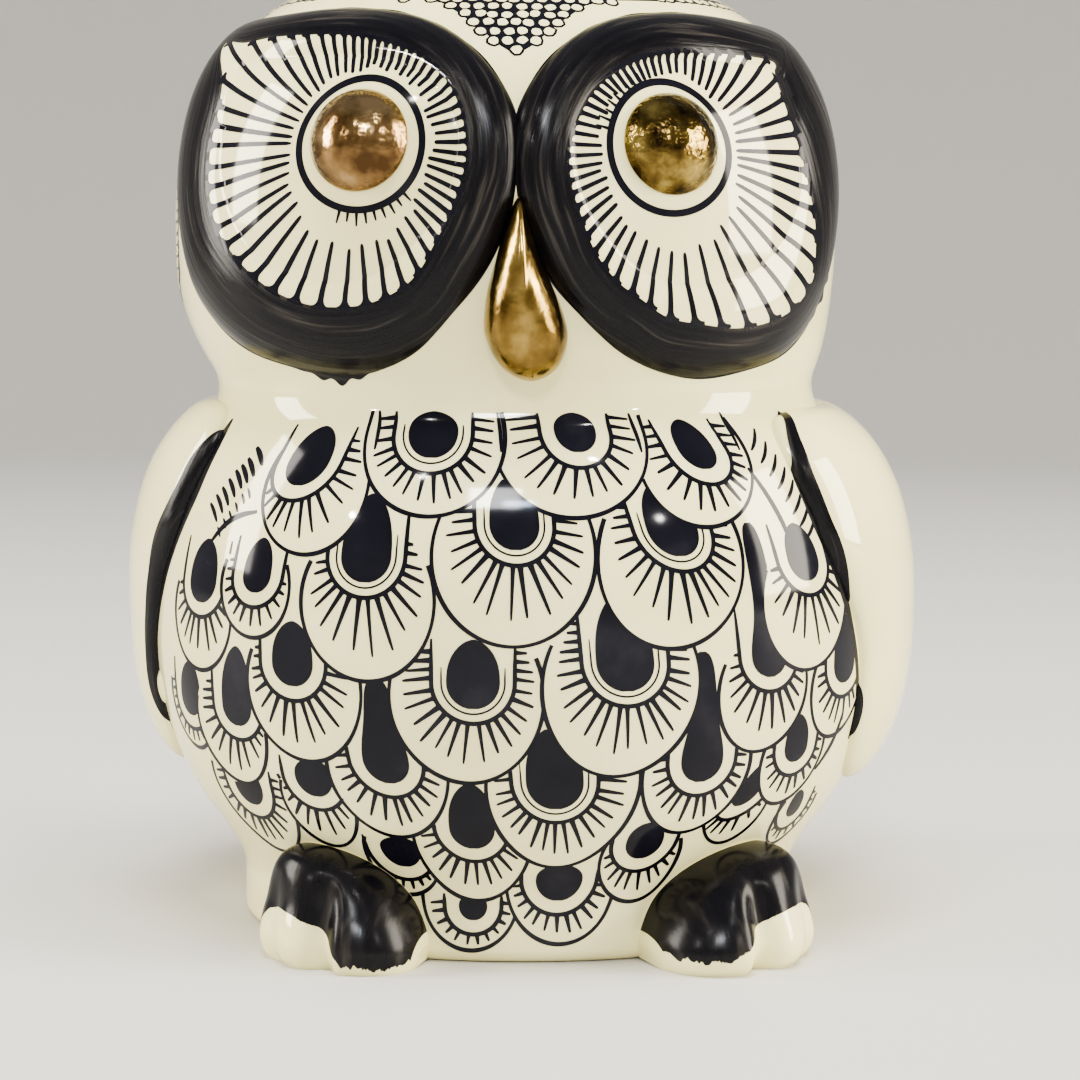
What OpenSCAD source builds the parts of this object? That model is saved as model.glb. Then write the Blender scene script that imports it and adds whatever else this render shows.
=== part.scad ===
// Glazed earthenware owl figurine, in millimetres.
// +Z is up, the owl faces -Y, and the origin is the middle of the base on the surface it stands on.
// Directions round the owl are angles from its face: 0 is straight ahead, 90 is towards +X.

/* [Torso] */
// Width of the torso without its wings
torso_width = 114; // [106:1:122]
// Depth of the torso
torso_depth = 98; // [90:1:106]
// Height at which the torso is widest
torso_mid = 48; // [44:1:52]
// Height of the torso's own curve above and below its widest level
torso_reach = 50; // [46:1:54]
// Width of the standing base
base_width = 86; // [80:1:92]
// Depth of the standing base
base_depth = 76; // [70:1:82]

/* [Head] */
// Width of the head
head_width = 102; // [96:1:108]
// Depth of the head
head_depth = 88; // [82:1:94]
// Height at which the head is widest
head_mid = 107; // [105:1:109]
// Height of the head's own curve above and below its widest level
head_reach = 41; // [39:1:43]
// Height of the seam between the torso and the head
neck_height = 84; // [82:1:86]
// Size of the fillet round the neck
neck_blend = 6; // [4:1:9]
// How far the head sits to one side of the torso
head_offset = -2.6; // [-4:0.2:4]

/* [Shell] */
// Thickness of the cast wall
wall = 4; // [3:0.5:5]
// Thickness of the floor inside the base
floor_thickness = 6; // [5:0.5:7]
// Rounding at the foot of the wall
foot_round = 2; // [1:0.5:3]
// How deep the applied pieces are pressed into the shell
luting_depth = 0.4; // [0.2:0.1:0.8]

/* [Wings] */
// Thickness of a wing at its middle
wing_thickness = 5.2; // [4:0.2:7]
// How far the pair of wings is turned round the torso
wing_turn = -8; // [-10:1:10]

/* [Feet] */
// Direction of a foot from straight ahead
foot_direction = 39.5; // [37:0.5:43]
// How far the pair of feet is turned round the torso
foot_turn = 2; // [-4:0.5:4]
// Half of the angle that a foot spans
foot_spread = 16.5; // [15:0.5:20]
// Height of a foot
foot_height = 17; // [15:0.5:21]
// How far a foot would stand out of the base at its inner edge
foot_length = 18.5; // [15:0.5:21]
// How much longer than that the left foot is, and how much shorter the right foot
foot_difference = 2; // [0:0.1:3]
// How much shorter a foot is at its outer edge, as a share of its length
outer_shortening = 0.4; // [0:0.05:0.5]
// Where a foot is highest across its width, from its middle at 0 to its outer edge at 1
foot_crest = 0.35; // [0:0.05:0.5]
// Depth of the grooves between the toes, as a share of the foot's length
toe_groove = 0.2; // [0.05:0.01:0.25]

/* [Face] */
// Direction of the middle of an eye's disc from straight ahead
eye_direction = 27.7; // [26:0.1:30]
// Direction of a gold eye from straight ahead
dome_direction = 28.8; // [26:0.1:31]
// Height of the middle of a gold eye
dome_level = 119; // [117.6:0.2:120.6]
// Height of an eye
eye_height = 119.4; // [118:0.2:121]
// Height of the plain disc round an eye
disc_height = 0.9; // [0.6:0.1:1.5]
// Height of the rim above that disc
rim_height = 1.4; // [1:0.1:3]
// Diameter of a gold eye
dome_diameter = 14.6; // [12:0.2:16]
// Height of a gold eye above its disc
dome_height = 4.6; // [3:0.2:6]
// How far the beak stands out at its fullest
beak_height = 6.4; // [5:0.2:8]

/* [Base vent] */
// Diameter of the vent through the floor
vent_diameter = 18; // [14:1:22]
// Diameter of the recess round the vent
recess_diameter = 26; // [24:1:32]
// Depth of that recess
recess_depth = 2.6; // [2:0.1:3]
// Clearance round the stopper on its radius
stopper_clearance = 0.05; // [0.02:0.01:0.1]
// Thickness of the stopper's flange
flange_thickness = 1.6; // [1:0.1:2]
// How far the stopper reaches up past the floor
stopper_reach = 3; // [1:0.5:5]

/* [Hidden] */
torso_round = 2.3;
head_round = 2.5;
section_round = 2.2;
base_blend = 5;
around = 60;
cavity_around = 30;
torso_levels = 28;
head_levels = 20;
cavity_levels = 9;
pole_angle = 88;
probe = 0.05;

// Outlines on the shell, each point an angle from straight ahead and a height
EYE_OUTLINE = [[-0.5, 118], [1.5, 125.5], [9.5, 132.5], [22, 136.8], [40, 138.4], [60, 138], [78, 137.2],
    [81, 133], [77.5, 121], [74, 107], [67, 96.5], [57, 89.5], [44, 86.6], [31, 86.2], [19, 90], [8, 98.5],
    [1.8, 107]];
WING_OUTLINE = [[60, 79], [88, 80.5], [122, 80], [150, 74], [159, 58], [151, 42], [130, 29], [102, 22.5],
    [80, 24], [73, 31], [71, 44], [66, 54], [60.5, 64]];
BEAK_OUTLINE = [[0.6, 111.5], [2.6, 107], [5.4, 101.5], [8.2, 96.5], [9.4, 92], [7, 87.8], [1.6, 86],
    [-3.8, 87.8], [-6.2, 92], [-5, 96.5], [-2.4, 101.5], [-0.9, 107]];
WING_CENTRE = [110, 54];
BEAK_CENTRE = [1.6, 93];
// Heights between which the head's offset comes in
LEAN_FROM = 72;
LEAN_TO = 100;
// Where the rim of an eye surround starts, as a share of its size
RIM_START = 0.6;
// Where the grooves between the toes lie across a foot, and how wide they are
MAIN_GROOVE = -0.15;
SIDE_GROOVE = 0.5;
GROOVE_WIDTH = 0.14;
// How near its full width a foot's end slices lie
EDGE_SHARE = 0.985;

// ---- The owl's outer form, as a radius in each direction at each height ----

// Radius of an oval section with half axes w and d
function section(t, w, d) =
    pow(pow(abs(sin(t)) / w, section_round) + pow(abs(cos(t)) / d, section_round), -1 / section_round);

// Share of its full section that a rounded body still has at height z
function fullness(z, mid, reach, power) =
    let (k = min(1, abs(z - mid) / reach)) pow(1 - pow(k, power), 1 / power);

// The larger of two radii, with a fillet of size k where they cross
function blend_max(a, b, k) =
    let (h = max(0, 1 - abs(a - b) / k)) max(a, b) + h * h * k / 4;

function torso_radius(t, z, inset) =
    fullness(z, torso_mid, torso_reach - inset, torso_round)
    * section(t, torso_width / 2 - inset, torso_depth / 2 - inset);

function head_radius(t, z, inset) =
    fullness(z, head_mid, head_reach - inset, head_round)
    * section(t, head_width / 2 - inset, head_depth / 2 - inset);

function base_radius(t, z, inset) =
    z > torso_mid ? 0 : section(t, base_width / 2 - inset, base_depth / 2 - inset);

// How far the wall draws in as it turns under at the foot
function foot_draw(z) =
    z >= foot_round ? 0 : foot_round - sqrt(foot_round * foot_round - pow(foot_round - z, 2));

function owl_radius(t, z, inset = 0) =
    blend_max(blend_max(torso_radius(t, z, inset), base_radius(t, z, inset), base_blend),
        head_radius(t, z, inset), neck_blend)
    - (inset > 0 ? 0 : foot_draw(z));

// How far the owl has moved to one side at height z
function lean(z) =
    let (k = min(1, max(0, (z - LEAN_FROM) / (LEAN_TO - LEAN_FROM)))) head_offset * k * k * (3 - 2 * k);

function at(t, r, z) = [r * sin(t) + lean(z), -r * cos(t), z];
function skin(t, z) = at(t, owl_radius(t, z), z);

// Outward normal of the outer form
function skin_normal(t, z) =
    let (n = cross(skin(t + probe, z) - skin(t - probe, z), skin(t, z + probe) - skin(t, z - probe)))
    n / norm(n);

function lifted(t, z, h) = skin(t, z) + h * skin_normal(t, z);

// ---- Solids from rings of points ----

// Faces of a tube of rings, closed to a point at both ends: the points follow the rings
function tube_faces(rings, n) = concat(
    [for (j = [0 : n - 1]) [rings * n, j, (j + 1) % n]],
    [for (i = [0 : rings - 2], j = [0 : n - 1]) let (k = (j + 1) % n)
        each [[i * n + j, (i + 1) * n + j, i * n + k], [i * n + k, (i + 1) * n + j, (i + 1) * n + k]]],
    [for (j = [0 : n - 1]) [rings * n + 1, (rings - 1) * n + (j + 1) % n, (rings - 1) * n + j]]);

module tube(rings, first, last) {
    n = len(rings[0]);
    polyhedron(points = concat([for (ring = rings) each ring], [first, last]),
        faces = tube_faces(len(rings), n));
}

function middle(points) = [for (p = points) 1] * points / len(points);

function ring_of(z, inset) =
    [for (j = [0 : around - 1]) at(j * 360 / around, owl_radius(j * 360 / around, z, inset), z)];

// Heights of the head's rings, close together towards the crown
function head_level(i, levels, inset) =
    let (reach = head_reach - inset,
        low = asin(pow((head_mid - neck_height) / reach, head_round / 2)),
        a = -low + i * (pole_angle + low) / levels)
    head_mid + reach * sign(a) * pow(abs(sin(a)), 2 / head_round);

// Heights of the torso's rings, close together at the rounded foot
function torso_level(i) = neck_height * pow(i / torso_levels, 1.25);

// ---- Applied pieces that follow the shell ----

// One point of a closed smooth curve through a list of points
function curve_at(p, i, f) =
    let (n = len(p), a = p[(i + n - 1) % n], b = p[i], c = p[(i + 1) % n], d = p[(i + 2) % n])
    0.5 * (2 * b + (c - a) * f + (2 * a - 5 * b + 4 * c - d) * f * f
        + (3 * b - a - 3 * c + d) * f * f * f);

function closed_curve(p, steps) =
    [for (i = [0 : len(p) - 1], s = [0 : steps - 1]) curve_at(p, i, s / steps)];

// Height of each kind of applied piece, from its centre at 0 to its outline at 1
function eye_profile(share) =
    disc_height * (1 - pow(share, 8))
    + rim_height * pow(sin(180 * max(0, share - RIM_START) / (1 - RIM_START)), 0.8);
function wing_profile(share) = wing_thickness * sqrt(1 - pow(share, 3.2));
function beak_profile(share) = beak_height * sqrt(1 - pow(share, 2.2));

// A piece laid on the shell: rings of points from its centre out to its outline, then back underneath
module applied(centre, outline, top, mirrored, turn = 0) {
    side = mirrored ? -1 : 1;
    shares = [for (i = [0 : len(top) - 1]) pow((i + 1) / len(top), 0.8)];
    over = [for (i = [0 : len(top) - 1])
        [for (p = outline) let (q = centre + shares[i] * (p - centre))
            lifted(side * q[0] + turn, q[1], top[i])]];
    under = [for (share = [1, 0.75, 0.5, 0.25])
        [for (p = outline) let (q = centre + share * (p - centre))
            lifted(side * q[0] + turn, q[1], -luting_depth)]];
    rings = concat(over, under);
    crest = lifted(side * centre[0] + turn, centre[1], top[0]);
    back = lifted(side * centre[0] + turn, centre[1], -luting_depth);
    if (mirrored) tube(rings, crest, back);
    else tube([for (i = [len(rings) - 1 : -1 : 0]) rings[i]], back, crest);
}

// Heights of a piece's rings, spaced as the rings are
function profile_list(levels, kind) =
    [for (i = [1 : levels]) let (share = pow(i / levels, 0.8))
        kind == "eye" ? eye_profile(share) : kind == "wing" ? wing_profile(share) : beak_profile(share)];

// ---- Sub-parts ----

module torso_shell() {
    outer = [for (i = [0 : torso_levels]) ring_of(torso_level(i), 0)];
    inner = [for (i = [0 : cavity_levels])
        ring_of(neck_height + (floor_thickness - neck_height) * i / cavity_levels, wall)];
    color("ivory")
    difference() {
        tube(concat(outer, inner), [0, 0, 0], [0, 0, floor_thickness]);
        translate([0, 0, -1]) cylinder(d = recess_diameter, h = recess_depth + 1, $fn = 64);
        cylinder(d = vent_diameter, h = floor_thickness + 2, $fn = 64);
    }
}

module head_shell() {
    outer = [for (i = [head_levels : -1 : 0]) ring_of(head_level(i, head_levels, 0), 0)];
    inner = [for (i = [0 : cavity_levels]) ring_of(head_level(i, cavity_levels, wall), wall)];
    crown = [head_offset, 0, head_mid + head_reach];
    color("ivory")
    tube([for (r = concat(outer, inner)) [for (j = [around - 1 : -1 : 0]) r[j]]], crown,
        crown - [0, 0, wall]);
}

module wing(mirrored) {
    color("ivory")
    applied(WING_CENTRE, closed_curve(WING_OUTLINE, 3), profile_list(9, "wing"), mirrored, wing_turn);
}

module eye_surround(mirrored) {
    color("dimgray")
    applied([eye_direction, eye_height], closed_curve(EYE_OUTLINE, 3), profile_list(13, "eye"), mirrored);
}

module eye_dome(mirrored) {
    direction = mirrored ? -dome_direction : dome_direction;
    radius = (pow(dome_diameter / 2, 2) + pow(dome_height, 2)) / (2 * dome_height);
    n = skin_normal(direction, dome_level);
    seat = lifted(direction, dome_level, disc_height - 0.3);
    color("goldenrod")
    translate(seat)
    rotate([0, acos(n[2]), atan2(n[1], n[0])])
    rotate_extrude($fn = 64)
    intersection() {
        translate([0, dome_height - radius]) circle(r = radius, $fn = 96);
        square([dome_diameter, dome_height]);
    }
}

module beak() {
    color("goldenrod")
    applied(BEAK_CENTRE, closed_curve(BEAK_OUTLINE, 3), profile_list(7, "beak"), false);
}

// How full a foot is across its width, from -1 at its inner edge to 1 at its outer edge
function foot_fullness(u) =
    let (v = u < foot_crest ? (u - foot_crest) / (1 + foot_crest) : (u - foot_crest) / (1 - foot_crest))
    pow(1 - pow(abs(v) * EDGE_SHARE, u < foot_crest ? 2 : 2.3), 0.5);

// Depth of one groove between two toes, at distance d across the foot
function groove(d) = exp(-d * d / (GROOVE_WIDTH * GROOVE_WIDTH));

// A foot is a row of upright slices across its width, each running over the toe and back inside the wall
module foot(mirrored) {
    side = mirrored ? -1 : 1;
    slices = 27;
    steps = 10;
    rows = [for (i = [0 : slices])
        let (u = -cos(180 * i / slices),
            t = side * (foot_direction + foot_spread * u) + foot_turn,
            swell = foot_fullness(u),
            crease = toe_groove * (groove(u - MAIN_GROOVE) + 0.5 * groove(u - SIDE_GROOVE)),
            taper = 1 - outer_shortening * (1 + u) / 2,
            high = foot_height * swell,
            long = (foot_length + side * foot_difference) * taper * pow(swell, 0.7))
        concat(
            [for (k = [0 : steps])
                let (a = 90 * k / steps, z = high * sin(a),
                    out = long * pow(cos(a), 0.85) * (1 - crease * pow(cos(a), 2)))
                at(t, owl_radius(t, max(z, foot_round)) + out, z)],
            [for (k = [steps : -2 : 0]) let (a = 90 * k / steps, z = high * sin(a))
                at(t, owl_radius(t, max(z, foot_round)) - luting_depth, z)])];
    shown = mirrored ? [for (i = [slices : -1 : 0]) rows[i]] : rows;
    color("dimgray") tube(shown, middle(shown[0]), middle(shown[slices]));
}

module base_stopper() {
    color("saddlebrown")
    translate([0, 0, recess_depth - flange_thickness])
    union() {
        cylinder(d = recess_diameter - 2, h = flange_thickness, $fn = 64);
        cylinder(d = vent_diameter - 2 * stopper_clearance,
            h = flange_thickness + floor_thickness - recess_depth + stopper_reach, $fn = 64);
    }
}

torso_shell();
head_shell();
wing(false);  // left_wing
wing(true);  // right_wing
foot(false);  // left_foot
foot(true);  // right_foot
eye_surround(false);  // left_eye_surround
eye_surround(true);  // right_eye_surround
eye_dome(false);  // left_eye_dome
eye_dome(true);  // right_eye_dome
beak();
base_stopper();
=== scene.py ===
import math
import random

import bpy
import numpy as np
from mathutils import Matrix, Vector


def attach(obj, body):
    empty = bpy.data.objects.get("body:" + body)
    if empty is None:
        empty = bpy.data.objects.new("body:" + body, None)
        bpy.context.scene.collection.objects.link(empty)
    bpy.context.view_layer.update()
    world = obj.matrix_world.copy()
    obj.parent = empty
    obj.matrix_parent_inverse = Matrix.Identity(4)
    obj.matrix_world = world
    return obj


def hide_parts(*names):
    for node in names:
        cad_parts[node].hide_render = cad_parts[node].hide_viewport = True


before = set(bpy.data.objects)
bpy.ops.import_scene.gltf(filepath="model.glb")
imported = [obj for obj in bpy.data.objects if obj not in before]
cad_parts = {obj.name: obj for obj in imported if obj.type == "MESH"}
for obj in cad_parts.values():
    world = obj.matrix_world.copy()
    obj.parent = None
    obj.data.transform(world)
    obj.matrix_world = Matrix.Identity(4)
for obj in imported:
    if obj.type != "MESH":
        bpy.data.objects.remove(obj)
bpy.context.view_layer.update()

# All shapes below are worked out in millimetres and degrees, in the frame of the CAD model.
MM = 0.001
BODY = "owl"

# ---- Driving dimensions, as in the CAD model apart from what a comment says ----

TORSO_WIDTH, TORSO_DEPTH, TORSO_MID, TORSO_REACH = 114, 98, 48, 50
BASE_WIDTH, BASE_DEPTH, FOOT_ROUND = 86, 76, 2
HEAD_WIDTH, HEAD_DEPTH, HEAD_MID, HEAD_REACH = 102, 88, 107, 41
NECK_HEIGHT, NECK_BLEND, BASE_BLEND = 84, 6, 5
TORSO_ROUND, HEAD_ROUND, SECTION_ROUND = 2.3, 2.5, 2.2
HEAD_OFFSET, LEAN_FROM, LEAN_TO = -2.6, 72, 100
WALL, FLOOR_THICKNESS = 4, 6
LUTING = 0.4
VENT_RADIUS, RECESS_RADIUS, RECESS_DEPTH = 9, 13, 2.6
WING_THICKNESS, WING_TURN = 5.2, -8
FOOT_DIRECTION, FOOT_TURN, FOOT_SPREAD, FOOT_HEIGHT, FOOT_CREST = 39.5, 2, 16.5, 17, 0.35
FOOT_LENGTH, FOOT_DIFFERENCE, OUTER_SHORTENING = 18.5, 2, 0.4
TOE_GROOVE, MAIN_GROOVE, SIDE_GROOVE, GROOVE_WIDTH, EDGE_SHARE = 0.2, -0.15, 0.5, 0.14, 0.985
SOLE_ROUND, SOLE_TUCK = 4.5, 0.13   # here only: soles draw in near the floor, the CAD feet stand square
DISC_HEIGHT, RIM_HEIGHT, RIM_START = 0.9, 1.4, 0.6
DOME_RADIUS, DOME_HEIGHT = 7.3, 4.6
BEAK_HEIGHT = 6.4
EYE_CENTRE = (27.7, 119.4)
DOME_CENTRE = (28.8, 119)
FAN_CENTRE = (28.4, 118.4)
WING_CENTRE = (110, 54)
BEAK_CENTRE = (1.6, 93)

# Outlines on the shell: angle from straight ahead, and height
EYE_OUTLINE = [(-0.5, 118), (1.5, 125.5), (9.5, 132.5), (22, 136.8), (40, 138.4), (60, 138), (78, 137.2),
               (81, 133), (77.5, 121), (74, 107), (67, 96.5), (57, 89.5), (44, 86.6), (31, 86.2), (19, 90),
               (8, 98.5), (1.8, 107)]
WING_OUTLINE = [(60, 79), (88, 80.5), (122, 80), (150, 74), (159, 58), (151, 42), (130, 29), (102, 22.5),
                (80, 24), (73, 31), (71, 44), (66, 54), (60.5, 64)]
# the beak's upper right side is about 1.3 mm fuller than in the CAD model
BEAK_OUTLINE = [(0.6, 111.5), (2.6, 107), (5.4, 101.5), (8.2, 96.5), (9.4, 92), (7, 87.8), (1.6, 86),
                (-3.8, 87.8), (-6.2, 92), (-5.6, 96.5), (-4, 101.5), (-1.9, 107)]

# ---- Painted work ----

INK = 0.05           # how far colour stands proud of the glaze
INK_SINK = 0.12      # how far its underside lies below the glaze

# Inner edge of the black band round each eye, seen from the owl's right and left eye
RIGHT_BAND = [(68.5, 132.5), (60, 132.5), (50.5, 133), (37, 133), (27, 132), (19, 130), (13, 126.5),
              (10, 122), (9, 117), (10, 113), (12, 108.5), (14.5, 104.5), (17, 101), (20.5, 98.5),
              (26.5, 96.5), (33, 96), (38.5, 96.5), (45, 98.5), (51, 102), (56, 106.5), (58.5, 111.5),
              (59.5, 117.5), (60, 123), (62.5, 128)]
LEFT_BAND = [(57.5, 131), (46.5, 131.5), (37, 131.5), (29, 131), (22, 129.5), (16.5, 127), (13, 124),
             (10.5, 120), (9.5, 116.5), (10, 112.5), (11.5, 109), (14, 104), (18, 100), (22.5, 97.5),
             (27.5, 95), (34.5, 94), (41.5, 93.5), (49, 94.5), (54.5, 96.5), (58.5, 100), (59, 104),
             (59, 108.5), (58, 114), (57, 120), (56, 125), (56.5, 129)]

# Printed feathers from the top row down. Angle and height of the black drop's foot, its length, half
# width and tilt, then the scallop's angle, half width and lowest height
FEATHERS = [
    (-18.5, 74.5, 6.5, 3.6, 0, -18, 10, 66.5), (9, 75.5, 5.5, 3, 0, 7.5, 11, 66.5),
    (-41, 70, 8.5, 3.5, -13, -38.5, 8.5, 60.5), (31.5, 73, 7, 2.9, 12, 30.5, 9, 65),
    (-3, 62, 10.5, 3.6, 4, -3, 11.5, 48.5), (-27.5, 57, 12.5, 3.8, 0, -27, 10, 43),
    (24, 61, 10.5, 3.9, 14, 23.5, 11, 48), (-46.5, 54.5, 8, 2.6, -6, -47, 6.5, 48),
    (48, 56.5, 8.5, 3.2, 12, 48.5, 9, 43.5), (-58.5, 52, 9.5, 3.4, -4, -59, 7.5, 42),
    (40.5, 43, 22.5, 3.1, 8, 40, 8, 32), (15.5, 42, 14, 4.2, 6, 15, 11.5, 29.5),
    (-9.5, 39.5, 10, 3.8, 0, -10.5, 11, 28.5), (-39.5, 41.5, 9.5, 3.4, 0, -38, 9.5, 30.5),
    (30, 28, 19.5, 3.3, 5, 29.5, 8.5, 20), (-24.5, 28, 15.5, 3.4, 4, -24.5, 9, 19.5),
    (58, 40.5, 10.5, 3, 4, 57, 7, 32.5), (-51, 34.5, 12, 3, -4, -53.5, 7.5, 25.5),
    (-63, 34.5, 8.5, 3, -8, -64, 6, 29.5), (4.5, 24.5, 12.5, 4.1, 5, 6, 11, 15),
    (-10.5, 18, 10.5, 3.2, 0, -10.5, 8.5, 9.5), (-38, 25, 6, 3, -4, -38.5, 6, 17),
    (48.5, 29.5, 7.5, 2.4, 8, 48.5, 6.5, 23), (-53, 22, 6, 2.9, -8, -53, 8, 14.5),
    (40.5, 23.5, 7, 2.1, -24, 39.5, 5.5, 17.5), (54.5, 20, 4.5, 1.6, 10, 55.5, 4.5, 15.5),
    (23, 16, 6, 2.7, 0, 23, 6, 9), (-25, 14.5, 5, 3, 0, -25, 5.5, 10), (7, 9.5, 6, 3.4, 0, 7.5, 8, 3),
    (-11.5, 6.5, 4, 2.1, 0, -12, 7, 2)]
SCALLOP_LINE, RING_LINE, INNER_LINE, LASH_LINE = 0.6, 0.66, 0.26, 0.66
RING_GAP = 2.1       # from the drop to the outer line of its cream ring
INNER_GAP = 0.7      # from a wide drop to the thin line inside that ring
WIDE_DROP = 3.5
LASH_STEP = 1.25     # between lashes, along the ring
LASH_SWEEP = 80      # to each side of straight down
SCALLOP_SHAPE = 1.14
CLUB_LENGTH = 14.5   # drops longer than this narrow to a stem
BASE_PRINT, NECK_PRINT = 1.2, 81   # lowest and highest print on the front
FAN_START, FAN_STEP = 10.5, 6.1   # where the strokes round an eye begin, and the angle between them
CELL_STEP, CELL_RADIUS, CELL_LINE = 2.0, 0.74, 0.36

# Brush strokes along the front edge of the wings: angle, height and width
RIGHT_WING_LINE = [(-65, 78.5, 0.5), (-65.5, 75.5, 2.2), (-66.5, 71.5, 3.6), (-67, 68, 4.2),
                   (-68.5, 64.5, 4.4), (-71, 59.5, 4.2), (-75, 52, 3.4), (-79.5, 44.5, 2.2),
                   (-81, 37, 1.4), (-80.5, 29.5, 0.6)]
LEFT_WING_LINE = [(56, 80.5, 0.9), (52, 76.5, 1.7), (51, 71.5, 2.3), (52.5, 65, 2.4), (55.5, 58, 1.9),
                  (58.5, 51.5, 1.3), (62, 43.5, 1), (64, 37, 0.9), (64.5, 31, 0.6)]

# Lower edge of the printed net on the head: angle from straight ahead, and height. It is high over the
# eyes and low behind, from the net's front edge on each side round to the back
NET_FRONT = [(0, 130.4), (5, 132.4), (9, 134.6), (14, 136.8), (19, 138.6), (26, 139.6), (45, 140)]
NET_BACK = [(77, 100), (82, 96.5), (92, 94), (104, 91.5)]
NET_SIDES = (-77, 89)
NET_CAP = 139.5      # where the net's cap and its part behind meet

# Lower edge of the black on each foot, across it from its inner edge at -1 to its outer edge at 1
RIGHT_FOOT_EDGE = [(-1, 1.6), (-0.6, 1.2), (-0.4, 1.5), (-0.25, 4), (-0.1, 6.4), (0.15, 7.8), (0.4, 8.4),
                   (0.6, 7.6), (0.78, 5), (0.9, 3), (1, 2)]
LEFT_FOOT_EDGE = [(-1, 3), (-0.8, 2.2), (-0.6, 2.6), (-0.4, 3.8), (-0.2, 6.4), (0.05, 8.4), (0.35, 9),
                  (0.6, 8), (0.8, 5), (0.92, 3), (1, 2)]

rng = random.Random(11)


# ---- The owl's outer form ----

def section(t, w, d):
    a = np.radians(t)
    p = SECTION_ROUND
    return (np.abs(np.sin(a) / w) ** p + np.abs(np.cos(a) / d) ** p) ** (-1 / p)


def fullness(z, mid, reach, power):
    k = np.minimum(1, np.abs(z - mid) / reach)
    return (1 - k ** power) ** (1 / power)


def blend_max(a, b, k):
    h = np.maximum(0, 1 - np.abs(a - b) / k)
    return np.maximum(a, b) + h * h * k / 4


def radius(t, z, inset=0):
    torso = fullness(z, TORSO_MID, TORSO_REACH - inset, TORSO_ROUND) * section(
        t, TORSO_WIDTH / 2 - inset, TORSO_DEPTH / 2 - inset)
    base = np.where(z > TORSO_MID, 0, section(t, BASE_WIDTH / 2 - inset, BASE_DEPTH / 2 - inset))
    head = fullness(z, HEAD_MID, HEAD_REACH - inset, HEAD_ROUND) * section(
        t, HEAD_WIDTH / 2 - inset, HEAD_DEPTH / 2 - inset)
    r = blend_max(blend_max(torso, base, BASE_BLEND), head, NECK_BLEND)
    if inset:
        return r
    draw = np.clip(FOOT_ROUND - z, 0, FOOT_ROUND)
    return r - FOOT_ROUND + np.sqrt(FOOT_ROUND ** 2 - draw ** 2)


def lean(z):
    k = np.clip((z - LEAN_FROM) / (LEAN_TO - LEAN_FROM), 0, 1)
    return HEAD_OFFSET * k * k * (3 - 2 * k)


def at(t, r, z):
    a = np.radians(t)
    return np.stack([r * np.sin(a) + lean(z), -r * np.cos(a), z + 0 * a], axis=-1)


def skin(t, z, inset=0):
    return at(t, radius(t, z, inset), z)


def unit(v):
    return v / np.maximum(np.linalg.norm(v, axis=-1, keepdims=True), 1e-12)


def slopes(surface, t, z):
    """How a surface moves with each degree round and each millimetre up."""
    e, h = 0.02, 0.01
    return ((surface(t + e, z) - surface(t - e, z)) / (2 * e),
            (surface(t, z + h) - surface(t, z - h)) / (2 * h))


def facing(surface, t, z):
    along, up = slopes(surface, t, z)
    return unit(np.cross(along, up))


def crown_normal(t, z):
    """The head's outward normal from its formula, which holds right up to the pole."""
    p = at(t, radius(t, z), z)
    x, y, h = p[..., 0] - lean(z), p[..., 1], z - HEAD_MID
    w, d = HEAD_WIDTH / 2, HEAD_DEPTH / 2
    flat = np.abs(x / w) ** SECTION_ROUND + np.abs(y / d) ** SECTION_ROUND
    outer = np.maximum(flat, 1e-9) ** (HEAD_ROUND / SECTION_ROUND - 1)
    return unit(np.stack([
        outer * np.sign(x) * np.abs(x / w) ** (SECTION_ROUND - 1) / w,
        outer * np.sign(y) * np.abs(y / d) ** (SECTION_ROUND - 1) / d,
        np.sign(h) * np.abs(h / HEAD_REACH) ** (HEAD_ROUND - 1) / HEAD_REACH], axis=-1))


# ---- Applied pieces that follow the shell ----

def closed_curve(points, steps):
    """A closed smooth curve through a list of points."""
    p = np.array(points, float)
    a, b, c, d = np.roll(p, 1, 0), p, np.roll(p, -1, 0), np.roll(p, -2, 0)
    f = (np.arange(steps) / steps)[None, :, None]
    a, b, c, d = a[:, None], b[:, None], c[:, None], d[:, None]
    curve = 0.5 * (2 * b + (c - a) * f + (2 * a - 5 * b + 4 * c - d) * f ** 2
                   + (3 * b - a - 3 * c + d) * f ** 3)
    return curve.reshape(-1, 2)


def eye_profile(share):
    rim = np.clip((share - RIM_START) / (1 - RIM_START), 0, 1)
    return DISC_HEIGHT * (1 - share ** 8) + RIM_HEIGHT * np.sin(np.pi * rim) ** 0.8


def wing_profile(share):
    return WING_THICKNESS * np.sqrt(np.maximum(0, 1 - share ** 3.2))


def beak_profile(share):
    return BEAK_HEIGHT * np.sqrt(np.maximum(0, 1 - share ** 2.2))


class Pad:
    """A piece laid on the shell, with its height given from its centre at 0 to its outline at 1."""

    def __init__(self, centre, outline, profile, side=1, turn=0):
        self.centre, self.profile, self.side, self.turn = np.array(centre, float), profile, side, turn
        self.curve = closed_curve(outline, 24)
        rel = self.curve - self.centre
        angle = np.arctan2(rel[:, 1], rel[:, 0])
        order = np.argsort(angle)
        self.angles, self.reach = angle[order], np.hypot(*rel.T)[order]

    def share(self, t, z):
        u = self.side * (t - self.turn) - self.centre[0]
        v = z - self.centre[1]
        edge = np.interp(np.arctan2(v, u), self.angles, self.reach, period=2 * np.pi)
        return np.hypot(u, v) / edge

    def surface(self, t, z):
        lift = self.profile(np.minimum(1, self.share(t, z)))
        return skin(t, z) + lift[..., None] * facing(skin, t, z)

    def chart(self, points):
        """Places on the shell for points given in the piece's own, unmirrored angles and heights."""
        q = np.array(points, float)
        return np.stack([self.side * q[..., 0] + self.turn, q[..., 1]], axis=-1)


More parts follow.
